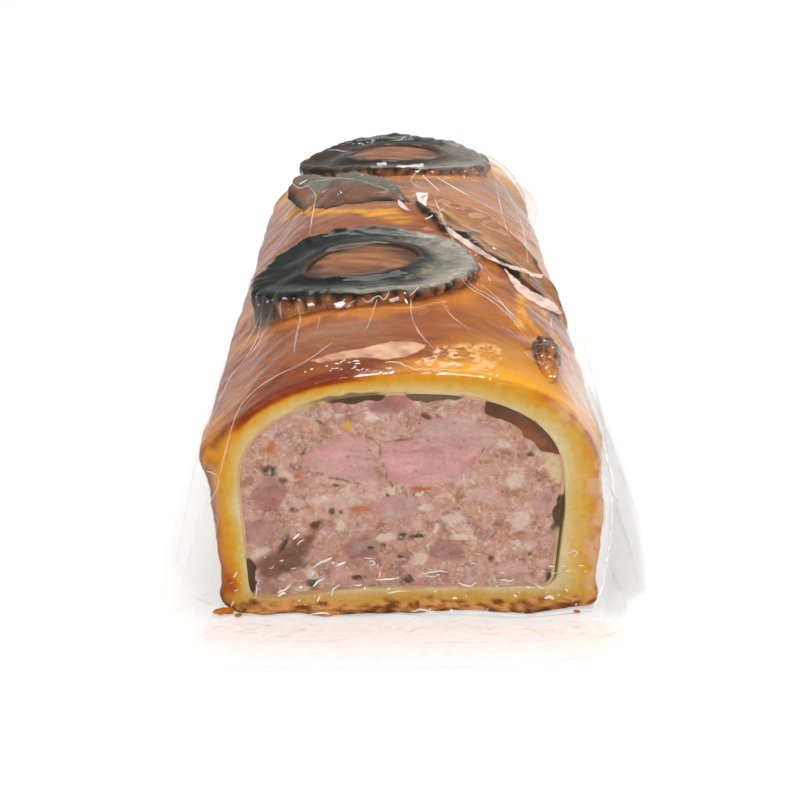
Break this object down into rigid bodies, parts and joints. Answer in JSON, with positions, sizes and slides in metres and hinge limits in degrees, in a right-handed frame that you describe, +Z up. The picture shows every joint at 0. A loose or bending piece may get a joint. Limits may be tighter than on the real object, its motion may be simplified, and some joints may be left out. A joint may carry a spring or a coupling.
{
  "type": "pate en croute",
  "caption": "Block of pate en croute: a domed pastry loaf with ham forcemeat and jelly at its cut ends, chimney rings and pastry leaves on top, vacuum packed in clear film.",
  "frame": {"origin": "on the floor under the middle of the pack", "axes": "+X to the right seen from the shown cut face, +Y along the loaf away from that face, +Z up"},
  "size_m": [0.148, 0.324, 0.0783],
  "materials": {
    "crust": "baked pastry with a glossy egg wash",
    "jelly": "set brown jelly",
    "filling": "moist pink forcemeat with ham",
    "charred_pastry": "charred pastry",
    "dark_pastry": "dark baked pastry",
    "film": "clear shrunk film"
  },
  "bodies": {
    "root": {"crust": "crust", "jelly": "jelly", "filling": "filling", "chimney_ring_front": "charred_pastry", "chimney_ring_back": "charred_pastry", "leaf_left": "dark_pastry", "leaf_right": "dark_pastry", "pastry_curl": "dark_pastry", "film_skirt": "film"}
  },
  "joints": []
}
